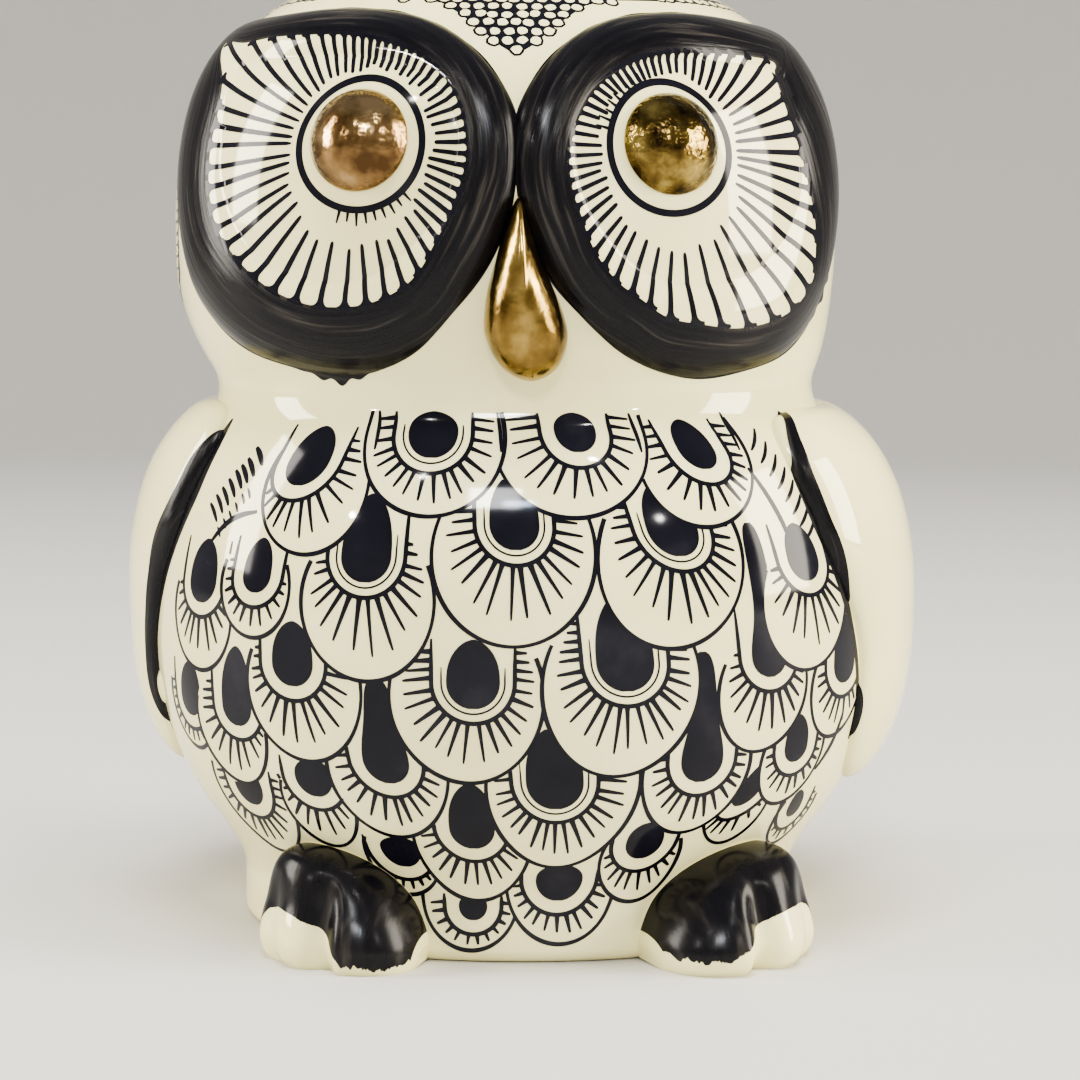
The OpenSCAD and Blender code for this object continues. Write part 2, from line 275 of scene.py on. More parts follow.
RIGHT_EYE = Pad(EYE_CENTRE, EYE_OUTLINE, eye_profile, side=-1)
LEFT_EYE = Pad(EYE_CENTRE, EYE_OUTLINE, eye_profile)
RIGHT_WING = Pad(WING_CENTRE, WING_OUTLINE, wing_profile, side=-1, turn=WING_TURN)
LEFT_WING = Pad(WING_CENTRE, WING_OUTLINE, wing_profile, turn=WING_TURN)
BEAK = Pad(BEAK_CENTRE, BEAK_OUTLINE, beak_profile)


# ---- Mesh building ----

def grid_faces(rows, columns, closed, first=0):
    """Faces of a grid of points, facing the way rows cross columns."""
    i, j = np.meshgrid(np.arange(rows - 1), np.arange(columns if closed else columns - 1), indexing="ij")
    k = (j + 1) % columns
    quads = np.stack([i * columns + j, (i + 1) * columns + j, (i + 1) * columns + k, i * columns + k], -1)
    return quads.reshape(-1, 4) + first


def make_piece(name, points, faces, normals, material, smooth_faces, replaced=()):
    """A mesh piece that rides on the owl. Faces marked in smooth_faces take the given point normals."""
    mesh = bpy.data.meshes.new(name)
    mesh.from_pydata((np.asarray(points) * MM).tolist(), [], [list(f) for f in faces])
    mesh.polygons.foreach_set("use_smooth", [True] * len(mesh.polygons))
    mesh.set_sharp_from_angle(angle=math.radians(40))
    corners = np.concatenate([np.asarray(f) for f in faces])
    shown = np.repeat(smooth_faces, [len(f) for f in faces])
    split = np.where(shown[:, None], np.asarray(normals)[corners], 0)
    mesh.normals_split_custom_set(split.tolist())
    mesh.materials.append(material)
    piece = bpy.data.objects.new(name, mesh)
    bpy.context.scene.collection.objects.link(piece)
    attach(piece, BODY)
    if replaced:
        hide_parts(*replaced)
    return piece


def closed_tube(name, rings, normals, ends, end_normals, shown_rings, material, replaced=()):
    """A solid from rings of points. With two end points it closes on them, and with none it loops back."""
    count, around = rings.shape[:2]
    points, point_normals = rings.reshape(-1, 3), normals.reshape(-1, 3)
    quads = grid_faces(count, around, True)
    shown = np.repeat(np.asarray(shown_rings[:-1]) & np.asarray(shown_rings[1:]), around)
    faces = quads.tolist()
    j = np.arange(around)
    k = (j + 1) % around
    if ends is None:
        last = (count - 1) * around
        faces += np.stack([last + j, j, k, last + k], -1).tolist()
        shown = np.concatenate([shown, np.zeros(around, bool)])
    else:
        points = np.vstack([points, ends])
        point_normals = np.vstack([point_normals, end_normals])
        first, last = count * around, count * around + 1
        faces += [[first, a, b] for a, b in zip(j.tolist(), k.tolist())]
        base = (count - 1) * around
        faces += [[last, base + b, base + a] for a, b in zip(j.tolist(), k.tolist())]
        shown = np.concatenate([shown, np.full(around, shown_rings[0]), np.full(around, shown_rings[-1])])
    return make_piece(name, points, faces, point_normals, material, shown, replaced)


class Film:
    """Thin closed layers of colour on a surface, gathered into one piece."""

    def __init__(self, surface, outward=None):
        self.surface = surface
        self.outward = outward or (lambda t, z: facing(surface, t, z))
        self.points, self.normals, self.faces, self.polygons, self.brush = [], [], [], [], []
        self.count = 0

    def add(self, chart, closed=False, brush=None, proud=INK):
        """Adds a grid of places, as rows by columns of angle and height."""
        q = np.asarray(chart, float)
        di = np.gradient(q, axis=0)
        dj = np.gradient(q, axis=1)
        if (di[..., 0] * dj[..., 1] - di[..., 1] * dj[..., 0]).sum() < 0:
            q = q[::-1]
            brush = None if brush is None else brush[::-1]
        p = self.surface(q[..., 0], q[..., 1])
        n = self.outward(q[..., 0], q[..., 1])
        rows, columns = q.shape[:2]
        size = rows * columns
        top, under = self.count, self.count + size
        self.points += [(p + proud * n).reshape(-1, 3), (p - INK_SINK * n).reshape(-1, 3)]
        self.normals += [n.reshape(-1, 3)] * 2
        grain = np.zeros((size, 3)) if brush is None else np.asarray(brush, float).reshape(-1, 3)
        self.brush += [grain, grain]
        self.faces.append(grid_faces(rows, columns, closed, top))
        self.faces.append(grid_faces(rows, columns, closed, under)[:, ::-1])
        i = np.arange(rows - 1)
        j = np.arange(columns if closed else columns - 1)
        k = (j + 1) % columns
        for a, b in ((j, k), ((rows - 1) * columns + k, (rows - 1) * columns + j)):
            self.faces.append(np.stack([top + a, top + b, under + b, under + a], -1))
        if not closed:
            for a, b in (((i + 1) * columns, i * columns),
                         (i * columns + columns - 1, (i + 1) * columns + columns - 1)):
                self.faces.append(np.stack([top + a, top + b, under + b, under + a], -1))
        self.count += 2 * size

    def stroke(self, path, widths, across=3, brush=None, ruler=None):
        """Adds one brush stroke of the given widths, measured on the ruler's surface, along a path."""
        q = np.asarray(path, float)
        along, up = slopes(ruler or self.surface, q[:, 0], q[:, 1])
        move = np.gradient(q, axis=0)
        forward = unit(along * move[:, :1] + up * move[:, 1:])
        sideways = np.cross(unit(np.cross(along, up)), forward)
        aa, au, uu = (along * along).sum(-1), (along * up).sum(-1), (up * up).sum(-1)
        sa, su = (sideways * along).sum(-1), (sideways * up).sum(-1)
        det = aa * uu - au * au
        shift = np.stack([(sa * uu - su * au) / det, (su * aa - sa * au) / det], -1)
        offsets = np.linspace(-0.5, 0.5, across)
        reach = shift * np.asarray(widths, float)[:, None]
        self.add(q[None] + offsets[:, None, None] * reach[None], brush=brush)

    def finish(self, name, material, slot):
        faces = np.vstack(self.faces).tolist() + self.polygons
        piece = make_piece(name, np.vstack(self.points), faces, np.vstack(self.normals), material,
                           np.ones(len(faces), bool))
        grain = piece.data.attributes.new("brush", "FLOAT_VECTOR", "POINT")
        grain.data.foreach_set("vector", np.vstack(self.brush).ravel())


# ---- Materials ----

class Finish:
    """A node material, with short ways to feed its shader."""

    def __init__(self, name):
        self.material = bpy.data.materials.new(name)
        self.material.use_nodes = True
        self.nodes, self.links = self.material.node_tree.nodes, self.material.node_tree.links
        self.shader = self.nodes["Principled BSDF"]

    def set(self, name, value):
        self.shader.inputs[name].default_value = value

    def noise(self, scale, detail, vector=None, stretch=(1, 1, 1)):
        """Noise in the object's own coordinates, or in a vector given."""
        if vector is None:
            vector = self.nodes.new("ShaderNodeTexCoord").outputs["Object"]
        mapping = self.nodes.new("ShaderNodeMapping")
        mapping.inputs["Scale"].default_value = stretch
        noise = self.nodes.new("ShaderNodeTexNoise")
        noise.inputs["Scale"].default_value = scale
        noise.inputs["Detail"].default_value = detail
        self.links.new(vector, mapping.inputs["Vector"])
        self.links.new(mapping.outputs["Vector"], noise.inputs["Vector"])
        return noise.outputs["Fac"]

    def colour(self, factor, *stops):
        """Colours along a factor, each given as its place and the colour."""
        ramp = self.nodes.new("ShaderNodeValToRGB")
        marks = ramp.color_ramp.elements
        marks[0].position, marks[0].color = stops[0][0], (*stops[0][1], 1)
        marks[1].position, marks[1].color = stops[-1][0], (*stops[-1][1], 1)
        for place, tone in stops[1:-1]:
            marks.new(place).color = (*tone, 1)
        self.links.new(factor, ramp.inputs["Fac"])
        self.links.new(ramp.outputs["Color"], self.shader.inputs["Base Color"])

    def roughness(self, factor, low, high):
        spread = self.nodes.new("ShaderNodeMapRange")
        spread.inputs["To Min"].default_value = low
        spread.inputs["To Max"].default_value = high
        self.links.new(factor, spread.inputs["Value"])
        self.links.new(spread.outputs["Result"], self.shader.inputs["Roughness"])

    def bump(self, height, distance, strength):
        bump = self.nodes.new("ShaderNodeBump")
        bump.inputs["Distance"].default_value = distance
        bump.inputs["Strength"].default_value = strength
        self.links.new(height, bump.inputs["Height"])
        self.links.new(bump.outputs["Normal"], self.shader.inputs["Normal"])


def glaze_material():
    glaze = Finish("cream_glaze")
    glaze.colour(glaze.noise(28, 4), (0.3, (0.80, 0.735, 0.39)), (0.5, (0.86, 0.80, 0.44)),
                 (0.72, (0.89, 0.84, 0.49)))
    glaze.roughness(glaze.noise(160, 3), 0.03, 0.10)
    glaze.set("Specular IOR Level", 0.6)
    glaze.bump(glaze.noise(55, 2), 0.00025, 0.35)
    return glaze.material


def ink_material():
    """Black laid on with a brush: its streaks follow each piece's own brush attribute."""
    ink = Finish("black_ink")
    attribute = ink.nodes.new("ShaderNodeAttribute")
    attribute.attribute_name = "brush"
    streak = ink.noise(1.0, 5, attribute.outputs["Vector"], (1.3, 0.05, 0.05))
    ink.colour(streak, (0.38, (0.0045, 0.0042, 0.006)), (0.56, (0.008, 0.0075, 0.009)),
               (0.75, (0.050, 0.044, 0.038)))
    ink.roughness(streak, 0.12, 0.34)
    ink.set("Specular IOR Level", 0.22)
    ink.bump(streak, 0.0002, 0.45)
    return ink.material


def print_material():
    ink = Finish("transfer_print")
    ink.colour(ink.noise(90, 4), (0.3, (0.005, 0.005, 0.009)), (0.6, (0.009, 0.009, 0.015)),
               (0.8, (0.024, 0.023, 0.030)))
    ink.roughness(ink.noise(260, 2), 0.04, 0.12)
    ink.set("Specular IOR Level", 0.22)
    return ink.material


def gold_material(name, dark, mid, light, patches, depth):
    """Lustre with colour in patches, a fine grain in its shine, and an uneven skin. On the beak the patches
    are worn tone; on the eye domes they are also painted reflections of the room.
    """
    gold = Finish(name)
    gold.set("Metallic", 1.0)
    gold.colour(gold.noise(patches, 4), (0.34, dark), (0.5, mid), (0.66, light))
    gold.roughness(gold.noise(420, 4), 0.08, 0.30)
    gold.bump(gold.noise(1.3 * patches, 3), depth, 0.6)
    return gold.material


def stopper_material():
    rubber = Finish("stopper_rubber")
    rubber.colour(rubber.noise(400, 4), (0.35, (0.30, 0.22, 0.13)), (0.7, (0.42, 0.33, 0.21)))
    rubber.set("Roughness", 0.75)
    rubber.bump(rubber.noise(900, 2), 0.0001, 0.5)
    return rubber.material


def bisque_material():
    clay = Finish("unglazed_clay")
    clay.colour(clay.noise(300, 5), (0.3, (0.52, 0.45, 0.34)), (0.7, (0.64, 0.58, 0.46)))
    clay.set("Roughness", 0.85)
    clay.bump(clay.noise(700, 4), 0.0002, 0.6)
    return clay.material


GLAZE, BRUSHED, PRINTED = glaze_material(), ink_material(), print_material()
RUBBER, BISQUE = stopper_material(), bisque_material()
BEAK_GOLD = gold_material(
    "antique_gold", (0.080, 0.048, 0.015), (0.205, 0.135, 0.042), (0.43, 0.305, 0.105), 150, 0.0005)
# On the eye domes the light and dark colour patches are painted reflections of the room, over the lustre's
# own uneven tone
COPPER_GOLD = gold_material(
    "copper_gold", (0.085, 0.048, 0.022), (0.25, 0.155, 0.068), (0.48, 0.335, 0.17), 170, 0.0008)
AMBER_GOLD = gold_material(
    "amber_gold", (0.030, 0.019, 0.008), (0.145, 0.098, 0.030), (0.42, 0.315, 0.10), 230, 0.0014)


# ---- Ceramic pieces ----

AROUND = 288


def ring_at(z, inset=0):
    t = np.arange(AROUND) * 360 / AROUND
    return skin(t, np.full(AROUND, float(z)), inset)


def circle_at(r, z):
    t = np.arange(AROUND) * 360 / AROUND
    return at(t, np.full(AROUND, float(r)), np.full(AROUND, float(z)))


def build_torso():
    low = np.concatenate([FOOT_ROUND * (1 - np.cos(np.linspace(0, np.pi / 2, 9))), [3, 4, 5]])
    levels = np.concatenate([low, np.linspace(6, NECK_HEIGHT, 131)])
    outer = [ring_at(z) for z in levels]
    inner = [ring_at(z, WALL) for z in np.linspace(NECK_HEIGHT, FLOOR_THICKNESS, 24)]
    vent = [circle_at(VENT_RADIUS, FLOOR_THICKNESS), circle_at(VENT_RADIUS, RECESS_DEPTH),
            circle_at(RECESS_RADIUS, RECESS_DEPTH), circle_at(RECESS_RADIUS, 0)]
    sole = [0.5 * (circle_at(RECESS_RADIUS, 0) + outer[0])]
    rings = np.array(outer + inner + vent + sole)
    t = np.arange(AROUND) * 360 / AROUND
    normals = np.zeros_like(rings)
    for i, z in enumerate(levels):
        normals[i] = facing(skin, t, np.full(AROUND, max(float(z), 0.02)))
    shown = np.arange(len(rings)) < len(outer)
    piece = closed_tube("torso_glaze", rings[:, ::-1], normals[:, ::-1], None, None, shown, GLAZE,
                        ["torso_shell"])
    piece.data.materials.append(BISQUE)
    for face in piece.data.polygons:
        if face.center.z < 1e-5 and face.normal.z < -0.9:
            face.material_index = 1


def crown_levels(count, inset=0):
    """Heights from the neck to just below the crown, closer together towards the crown."""
    reach = HEAD_REACH - inset
    low = math.asin(((HEAD_MID - NECK_HEIGHT) / reach) ** (HEAD_ROUND / 2))
    a = np.linspace(-low, math.radians(89.2), count)
    return HEAD_MID + reach * np.sign(a) * np.abs(np.sin(a)) ** (2 / HEAD_ROUND)


def head_normals(t, z):
    return np.where((z > 100)[..., None], crown_normal(t, z), facing(skin, t, np.minimum(z, 140)))


def build_head():
    t = np.arange(AROUND) * 360 / AROUND
    levels = crown_levels(110)
    outer = [ring_at(z) for z in levels[::-1]]
    inner = [ring_at(z, WALL) for z in crown_levels(20, WALL)]
    rings = np.array(outer + inner)
    normals = np.zeros_like(rings)
    for i, z in enumerate(levels[::-1]):
        normals[i] = head_normals(t, np.full(AROUND, float(z)))
    shown = np.arange(len(rings)) < len(outer)
    top = np.array([HEAD_OFFSET, 0, HEAD_MID + HEAD_REACH])
    ends = [top, top - [0, 0, WALL]]
    closed_tube("head_glaze", rings, normals, ends, [[0, 0, 1], [0, 0, -1]], shown, GLAZE,
                ["head_shell"])


def build_pad(name, pad, levels, around, material, node):
    curve = closed_curve(pad.curve[::24], around)
    shares = 1 - (1 - np.linspace(0, 1, levels + 1)[1:]) ** 1.6
    charts = [pad.chart(pad.centre + s * (curve - pad.centre)) for s in shares]
    over = [pad.surface(q[:, 0], q[:, 1]) for q in charts]
    edge_safe = [pad.chart(pad.centre + min(s, 0.996) * (curve - pad.centre)) for s in shares]
    over_normals = [facing(pad.surface, q[:, 0], q[:, 1]) for q in edge_safe]
    unders = [pad.chart(pad.centre + s * (curve - pad.centre)) for s in (1, 0.8, 0.6, 0.4, 0.2)]
    under = [skin(q[:, 0], q[:, 1]) - LUTING * facing(skin, q[:, 0], q[:, 1]) for q in unders]
    rings = np.array(over + under)
    normals = np.array(over_normals + [np.zeros_like(u) for u in under])
    if pad.side > 0:
        rings, normals = rings[:, ::-1], normals[:, ::-1]
    centre = pad.chart(pad.centre[None])
    crest = pad.surface(centre[:, 0], centre[:, 1])[0]
    out = facing(skin, centre[:, 0], centre[:, 1])[0]
    back = skin(centre[:, 0], centre[:, 1])[0] - LUTING * out
    shown = np.arange(len(rings)) < len(over)
    closed_tube(name, rings, normals, [crest, back], [out, -out], shown, material, [node])


def groove(d):
    return np.exp(-d * d / GROOVE_WIDTH ** 2)


def sole_tuck(z):
    """How far a foot draws in towards the floor, as a share of its length."""
    return SOLE_TUCK * (np.clip(SOLE_ROUND - z, 0, SOLE_ROUND) / SOLE_ROUND) ** 2.2


def foot_fullness(u):
    inner = u < FOOT_CREST
    v = np.where(inner, (u - FOOT_CREST) / (1 + FOOT_CREST), (u - FOOT_CREST) / (1 - FOOT_CREST))
    return np.sqrt(1 - (np.abs(v) * EDGE_SHARE) ** np.where(inner, 2, 2.3))


class Foot:
    """A foot as rows of upright slices. Its places are across, from -1 to 1, and up, from 0 to 90."""

    def __init__(self, side):
        self.side = side

    def angle(self, u, z):
        return self.side * (FOOT_DIRECTION + FOOT_SPREAD * u * (1 - 0.4 * sole_tuck(z))) + FOOT_TURN

    def surface(self, u, a):
        u = np.clip(u, -1, 1)
        swell = foot_fullness(u)
        crease = TOE_GROOVE * (groove(u - MAIN_GROOVE) + 0.5 * groove(u - SIDE_GROOVE))
        rise = np.radians(np.clip(a, 0, 90))
        z = FOOT_HEIGHT * swell * np.sin(rise)
        taper = 1 - OUTER_SHORTENING * (1 + u) / 2
        length = (FOOT_LENGTH + self.side * FOOT_DIFFERENCE) * taper * swell ** 0.7
        out = length * np.cos(rise) ** 0.85 * (1 - crease * np.cos(rise) ** 2) * (1 - sole_tuck(z))
        t = self.angle(u, z)
        return at(t, radius(t, np.maximum(z, FOOT_ROUND)) + out, z)

    def facing(self, u, a):
        u, a = np.clip(u, -0.995, 0.995), np.clip(a, 0.3, 89)
        along = self.surface(u + 0.003, a) - self.surface(u - 0.003, a)
        up = self.surface(u, a + 0.2) - self.surface(u, a - 0.2)
        return unit(np.cross(along, up)) * self.side


def build_foot(name, side, node):
    foot = Foot(side)
    slices, steps = 90, 40
    u = -np.cos(np.linspace(0, np.pi, slices))
    a = np.linspace(0, 90, steps)
    uu, aa = np.meshgrid(u, a, indexing="ij")
    over = foot.surface(uu, aa)
    over_normals = foot.facing(uu, aa)
    z = over[:, ::-4, 2]
    t = foot.angle(uu[:, ::-4], z)
    under = at(t, radius(t, np.maximum(z, FOOT_ROUND)) - LUTING, z)
    rings = np.concatenate([over, under], axis=1)
    normals = np.concatenate([over_normals, np.zeros_like(under)], axis=1)
    if side < 0:
        rings, normals = rings[::-1], normals[::-1]
    ends = [rings[0].mean(0), rings[-1].mean(0)]
    count, around = rings.shape[:2]
    quads = grid_faces(count, around, True)
    column = np.tile(np.arange(around), count - 1)
    shown = (column < steps - 1)
    points = np.vstack([rings.reshape(-1, 3), ends])
    point_normals = np.vstack([normals.reshape(-1, 3), np.zeros((2, 3))])
    faces = quads.tolist()
    base = (count - 1) * around
    for j in range(around):
        k = (j + 1) % around
        faces.append([count * around, j, k])
        faces.append([count * around + 1, base + k, base + j])
    shown = np.concatenate([shown, np.zeros(2 * around, bool)])
    make_piece(name, points, faces, point_normals, GLAZE, shown, [node])


def build_dome(name, pad, material, node):
    """A shallow round dome on an eye disc, seated a little below the disc's face."""
    centre = pad.chart([DOME_CENTRE])
    out = facing(skin, centre[:, 0], centre[:, 1])[0]
    seat = skin(centre[:, 0], centre[:, 1])[0] + (DISC_HEIGHT - 0.3) * out
    side = unit(np.cross(out, [0.0, 0.0, 1.0]))
    up = np.cross(side, out)
    ball = (DOME_RADIUS ** 2 + DOME_HEIGHT ** 2) / (2 * DOME_HEIGHT)
    sweep = math.asin(DOME_RADIUS / ball)
    a = np.linspace(sweep / 28, sweep, 28)
    phi = np.arange(96) * 2 * np.pi / 96
    level = ball * np.cos(a) - ball + DOME_HEIGHT
    r = ball * np.sin(a)
    spokes = np.cos(phi)[:, None] * side + np.sin(phi)[:, None] * up
    rings = seat + r[:, None, None] * spokes[None] + level[:, None, None] * out
    normals = unit(rings - (seat + (DOME_HEIGHT - ball) * out))
    flat = [seat + r[-1] * k * spokes for k in (0.66, 0.33)]
    rings = np.concatenate([rings, flat])
    normals = np.concatenate([normals, np.zeros((2, 96, 3))])
    shown = np.arange(len(rings)) < len(a)
    ends = [seat + DOME_HEIGHT * out, seat]
    closed_tube(name, rings[:, ::-1], normals[:, ::-1], ends, [out, -out], shown, material, [node])


build_torso()
build_head()
build_pad("right_wing_glaze", RIGHT_WING, 36, 14, GLAZE, "right_wing")
build_pad("left_wing_glaze", LEFT_WING, 36, 14, GLAZE, "left_wing")
build_pad("right_eye_plate", RIGHT_EYE, 60, 16, GLAZE, "right_eye_surround")
build_pad("left_eye_plate", LEFT_EYE, 60, 16, GLAZE, "left_eye_surround")
build_pad("gold_beak", BEAK, 30, 10, BEAK_GOLD, "beak")
build_foot("right_foot_glaze", -1, "right_foot")
build_foot("left_foot_glaze", 1, "left_foot")
build_dome("right_gold_eye", RIGHT_EYE, COPPER_GOLD, "right_eye_dome")
build_dome("left_gold_eye", LEFT_EYE, AMBER_GOLD, "left_eye_dome")
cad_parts["base_stopper"].data.materials.clear()
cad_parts["base_stopper"].data.materials.append(RUBBER)


# ---- Printed feathers ----

def mm_per_degree(t, z):
    return float(np.linalg.norm(skin(t + 0.5, z) - skin(t - 0.5, z)))


def front_edge(line, z):
    """The angle of a wing's brush stroke at a height."""
    q = np.array(line)[::-1]
    return np.interp(z, q[:, 1], q[:, 0])


class Feather:
    """One printed feather. Its own x runs to the right and y up from the middle of the drop's round end."""

    def __init__(self, t, foot, length, half, tilt, scallop_t, scallop_half, scallop_low):
        self.t, self.z, self.length, self.half = t, foot + half, length, half
        self.shear = math.tan(math.radians(tilt))
        self.wide, self.tall = scallop_half, SCALLOP_SHAPE * scallop_half
        self.mid_t, self.mid_z = scallop_t, scallop_low + self.tall
        self.scale = mm_per_degree(scallop_t, min(self.mid_z, 78))

    def place(self, x, y):
        return np.stack([self.t + (x - self.shear * y) / self.scale, self.z + y + 0 * x], -1)

    def covers(self, t, z):
        return ((t - self.mid_t) * self.scale / self.wide) ** 2 + ((z - self.mid_z) / self.tall) ** 2 < 1

    def span(self, z):
        """The range of angles its scallop takes up at a height, or None."""
        k = 1 - ((z - self.mid_z) / self.tall) ** 2
        if k <= 0:
            return None
        reach = self.wide * math.sqrt(k) / self.scale
        return self.mid_t - reach, self.mid_t + reach

    def drop_width(self, y):
        if y <= 0:
            return math.sqrt(max(0, self.half ** 2 - y * y))
        k = min(1, y / (self.length - self.half))
        if self.length > CLUB_LENGTH:
            stem = 0.56 + 0.44 * math.exp(-0.4 * (y / self.half) ** 2)
            return self.half * stem * (1 - k ** 8) ** 0.4
        return self.half * (1 - k ** 2.4) ** 0.6

    def room(self, x, y, dx, dy):
        """How far it is from one of its own places to the scallop's edge in a direction."""
        px = (self.t + (x - self.shear * y) / self.scale - self.mid_t) * self.scale / self.wide
        py = (self.z + y - self.mid_z) / self.tall
        ux, uy = dx / self.wide, dy / self.tall
        a, b, c = ux * ux + uy * uy, px * ux + py * uy, px * px + py * py - 1
        return (-b + math.sqrt(max(0, b * b - a * c))) / a


def visible(places, above):
    t, z = places[:, 0], places[:, 1]
    shown = (z > BASE_PRINT) & (z < NECK_PRINT)
    shown &= (t > front_edge(RIGHT_WING_LINE, z)) & (t < front_edge(LEFT_WING_LINE, z))
    for feather in above:
        shown &= ~feather.covers(t, z)
    return shown


def draw_line(film, places, widths, above):
    """Draws the parts of a line that no feather above hides."""
    shown = visible(places, above)
    edges = np.flatnonzero(np.diff(np.concatenate([[0], shown.astype(int), [0]]))).reshape(-1, 2)
    for first, last in edges:
        if last - first > 2:
            film.stroke(places[first:last], widths[first:last])


def draw_drop(film, feather, above):
    rows = []
    for y in np.linspace(-0.98 * feather.half, 0.995 * (feather.length - feather.half), 44):
        w = feather.drop_width(y)
        z = feather.z + y
        low, high = feather.place(np.array([-w, w]), y)[:, 0]
        runs = [(max(low, front_edge(RIGHT_WING_LINE, z)), min(high, front_edge(LEFT_WING_LINE, z)))]
        for other in above:
            span = other.span(z)
            if span:
                runs = [cut for a, b in runs for cut in ((a, min(b, span[0])), (max(a, span[1]), b))]
                runs = [cut for cut in runs if cut[1] > cut[0]]
        if not runs:
            break
        low, high = max(runs, key=lambda cut: cut[1] - cut[0])
        if z > NECK_PRINT or (high - low) * feather.scale < 0.12:
            break
        rows.append(np.stack([np.linspace(low, high, 11), np.full(11, z)], -1))
    if len(rows) > 3:
        film.add(np.array(rows))


def draw_feather(film, feather, above):
    draw_drop(film, feather, above)
    top = min(feather.length - feather.half, 2.4 * feather.half)
    a = np.linspace(-90, 90, 61)
    lines = [(RING_GAP, RING_LINE, top)]
    if feather.half > WIDE_DROP:
        lines.append((INNER_GAP, INNER_LINE, 0.35 * top))
    for gap, width, side_reach in lines:
        r = feather.half + gap
        rise = np.linspace(side_reach, 0, 24)[:-1]
        x = np.concatenate([np.full(23, -r), r * np.sin(np.radians(a)), np.full(23, r)])
        y = np.concatenate([rise, -r * np.cos(np.radians(a)), rise[::-1]])
        fade = 1 - 0.55 * np.clip(y / max(side_reach, 0.1), 0, 1) ** 2
        draw_line(film, feather.place(x, y), width * fade, above)
    a = np.radians(np.linspace(-118, 118, 150))
    outline = np.stack([feather.mid_t + feather.wide * np.sin(a) / feather.scale,
                        feather.mid_z - feather.tall * np.cos(a)], -1)
    waver = 1 + 0.16 * np.sin(3 * a + rng.uniform(0, 6))
    draw_line(film, outline, SCALLOP_LINE * waver, above)
    r = feather.half + RING_GAP
    count = round(2 * math.radians(LASH_SWEEP) * r / LASH_STEP)
    roots = []
    for i in range(count + 1):
        phi = math.radians(LASH_SWEEP * (2 * i / count - 1)) + rng.uniform(-0.03, 0.03)
        dx, dy = math.sin(phi), -math.cos(phi)
        roots.append((r * dx, r * dy, dx, dy))
    for i in range(int(top / LASH_STEP)):
        tilt = math.radians(8 - 2 * i)
        for side in (-1, 1):
            roots.append((side * r, (i + 0.5) * LASH_STEP, side * math.cos(tilt), -math.sin(tilt)))
    for x, y, dx, dy in roots:
        room = feather.room(x, y, dx, dy)
        if room < 1.2:
            continue
        ways = np.linspace(-0.1, room * (0.66 + rng.uniform(-0.06, 0.06)), 16)
        wide = LASH_LINE * rng.uniform(0.85, 1.15) * np.interp(
            np.linspace(0, 1, 16), [0, 0.1, 0.3, 0.9, 1], [1.5, 1.1, 0.95, 0.62, 0.4])
        draw_line(film, feather.place(x + ways * dx, y + ways * dy), wide, above)


def dash(film, start, end, width, bow=0.0, points=9):
    """A short brush dash, thickest in the middle, bowed sideways by a share of its length."""
    k = np.linspace(0, 1, points)[:, None]
    a, b = np.array(start, float), np.array(end, float)
    across = np.array([-(b - a)[1], (b - a)[0]]) * bow
    widths = width * np.sqrt(np.sin(np.pi * (0.08 + 0.86 * k[:, 0])))
    film.stroke(a + (b - a) * k + across * np.sin(np.pi * k), widths)


def build_feathers():
    film = Film(skin)
    feathers = [Feather(*row) for row in FEATHERS]
    for i, feather in enumerate(feathers):
        draw_feather(film, feather, feathers[:i])
    # loose strokes beside the wings and up at the neck
    for i in range(8):
        t, z = -53.5 - 0.95 * i, 74.6 - 1.15 * i + rng.uniform(-0.4, 0.4)
        dash(film, (t, z), (t + 3.0, z - 2.5), 1.0 - 0.04 * i, 0.05)
        if i > 1:
            dash(film, (t + 3.5, z - 3.2), (t + 4.6, z - 4.6), 0.45, 0.05)
    dash(film, (-48.5, 66), (-58, 60.5), 0.9, -0.12, 24)
    for i in range(8):
        z = 78.4 - 1.85 * i
        dash(film, (46.3 + 0.85 * i, z), (42.9 + 0.9 * i, z - 3.0), 0.62, 0.05)
    dash(film, (40.6, 73), (46.5, 60), 0.8, 0.04, 24)
    dash(film, (59.5, 36), (55.5, 27.5), 0.9, 0.08, 16)
    for t in (-29.5, -6, 20.5, 40):
        dash(film, (t, 80.9), (t + 0.4, 75.5), 0.6, 0.03, 14)
    film.finish("feather_print", PRINTED, "ink")


def ring_stroke(film, pad, inner, outer, rows):
    """A closed band round an eye between two radii in millimetres."""
    film.add(np.array([eye_places(pad, r, np.arange(120) * 3.0) for r in np.linspace(inner, outer, rows)]),
             closed=True)


def eye_scale(pad):
    centre = pad.chart(FAN_CENTRE)
    return mm_per_degree(centre[0], centre[1])


def eye_places(pad, r, degrees):
    """Places at a distance in millimetres from the middle of an eye. Degrees run from its outer side up."""
    a = np.radians(degrees)
    u = r * np.cos(a) / eye_scale(pad)
    return pad.chart(np.array(FAN_CENTRE) + np.stack([u, r * np.sin(a) + 0 * u], -1))


class Reach:
    """How far a closed outline lies from the middle of an eye's fan in each direction."""

    def __init__(self, pad, points, steps):
        rel = (closed_curve(points, steps) - FAN_CENTRE) * [eye_scale(pad), 1]
        angle = np.degrees(np.arctan2(rel[:, 1], rel[:, 0])) % 360
        order = np.argsort(angle)
        self.angles, self.reach = angle[order], np.hypot(*rel.T)[order]

    def at(self, degrees):
        return np.interp(degrees % 360, self.angles, self.reach, period=360)


